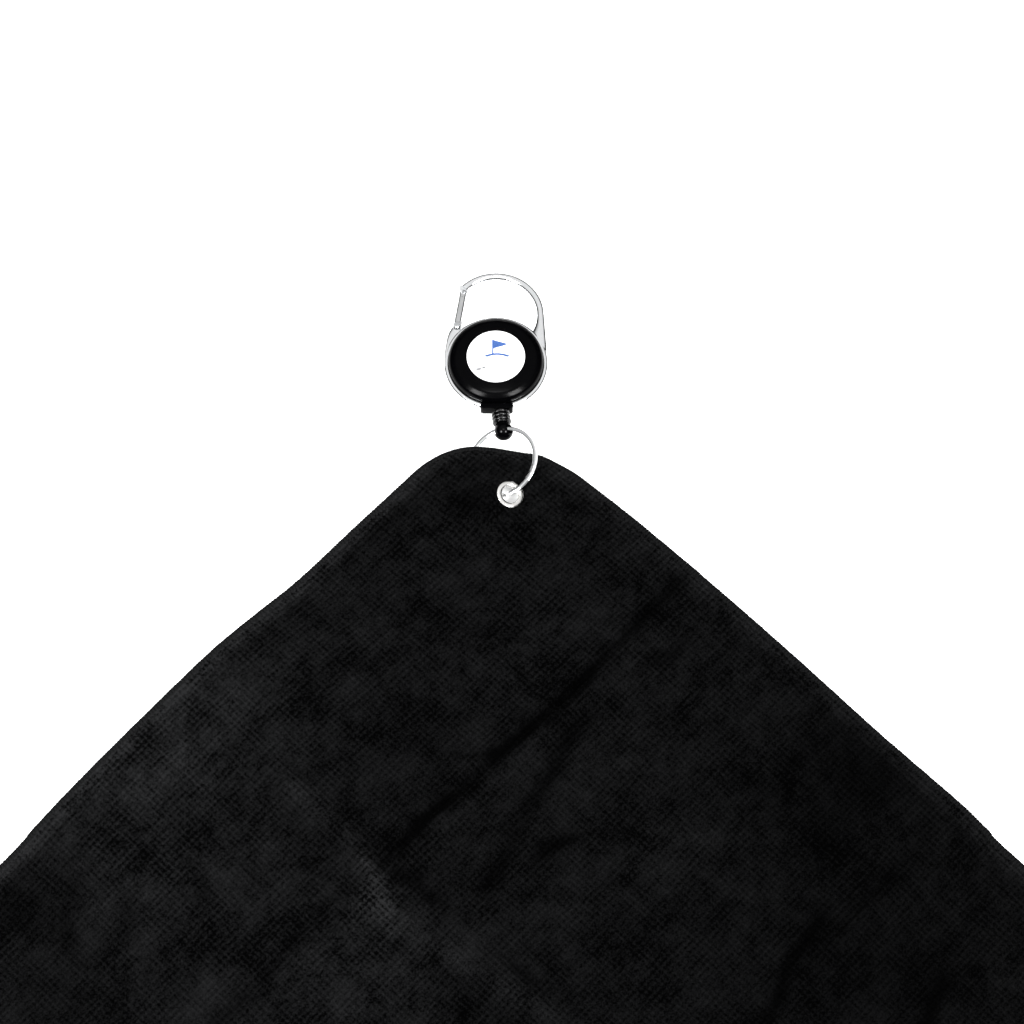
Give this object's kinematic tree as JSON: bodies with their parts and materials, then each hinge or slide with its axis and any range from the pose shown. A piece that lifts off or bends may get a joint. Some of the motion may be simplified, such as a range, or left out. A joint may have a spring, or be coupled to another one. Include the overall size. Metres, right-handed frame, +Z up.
{
  "type": "golf towel with retractable reel",
  "caption": "Black golf towel with a rounded, grommeted corner, hung by a split ring from a round retractable cord reel in a chrome clip with a spring gate.",
  "frame": {"origin": "centre of the reel's flat back face, on the surface that the reel and towel lie on", "axes": "+Z up out of the reel's label, +Y from the reel to the top of its clip, +X to the right of someone reading the label"},
  "size_m": [0.6833, 0.7564, 0.0109],
  "materials": {
    "chrome_plate": "polished nickel-chrome plate",
    "steel": "drawn wire and strip",
    "black_plastic": "satin-gloss moulded",
    "inner_plastic": "matte moulded",
    "black_rubber": "soft moulded",
    "cord_nylon": "braided nylon",
    "label_vinyl": null,
    "towel_fabric": "small-waffle microfibre",
    "hem_yarn": "overlocked polyester thread"
  },
  "bodies": {
    "reel": {"carabiner_frame": "chrome_plate", "gate_pivot_pin": "steel", "front_cover": "black_plastic", "back_cover": "black_plastic", "label_disc": "label_vinyl", "spool_screw": "steel", "power_spring": "steel", "cord_lead": "cord_nylon", "cord_outlet": "black_plastic"},
    "gate": {"gate_bar": "chrome_plate", "gate_latch_pin": "steel", "gate_plunger": "steel", "gate_spring": "steel"},
    "spool": {"spool": "inner_plastic", "cord_winding": "cord_nylon"},
    "cord_end": {"cord_sleeve": "black_rubber", "ball_link": "black_plastic", "cord_knot": "cord_nylon"},
    "ring": {"split_ring": "chrome_plate"},
    "towel": {"towel_cloth": "towel_fabric", "hem_thread": "hem_yarn", "grommet_eyelet": "chrome_plate", "grommet_washer": "chrome_plate"}
  },
  "joints": [
    {"name": "gate_hinge", "type": "hinge", "parent": "reel", "child": "gate", "pos_m": [-0.0132, 0.0141, 0.003], "axis": [0, 0, -1], "range_deg": [0, 35], "stiffness_Nm_per_rad": 0.002, "springref_deg": -28.65},
    {"name": "cord_pull", "type": "slide", "parent": "reel", "child": "cord_end", "axis": [0, -1, 0], "range_m": [0, 0.6], "stiffness_N_per_m": 0.6, "springref_m": -0.9},
    {"name": "spool_turn", "type": "hinge", "parent": "reel", "child": "spool", "pos_m": [0, 0, 0.0039], "axis": [0, 0, -1], "range_deg": [0, 3180]},
    {"name": "ring_swing", "type": "hinge", "parent": "cord_end", "child": "ring", "pos_m": [0.00235, -0.02657, 0.00616], "axis": [-0.9135, 0, -0.4067], "range_deg": [-70, 75]},
    {"name": "towel_turn", "type": "hinge", "parent": "ring", "child": "towel", "pos_m": [0.0046, -0.0505, 0.0059], "axis": [0, 0, 1], "range_deg": [-4, 30]}
  ],
  "couplings": [
    {"joint": "spool_turn", "follows": "cord_pull", "rad_per_m": 92.2}
  ]
}
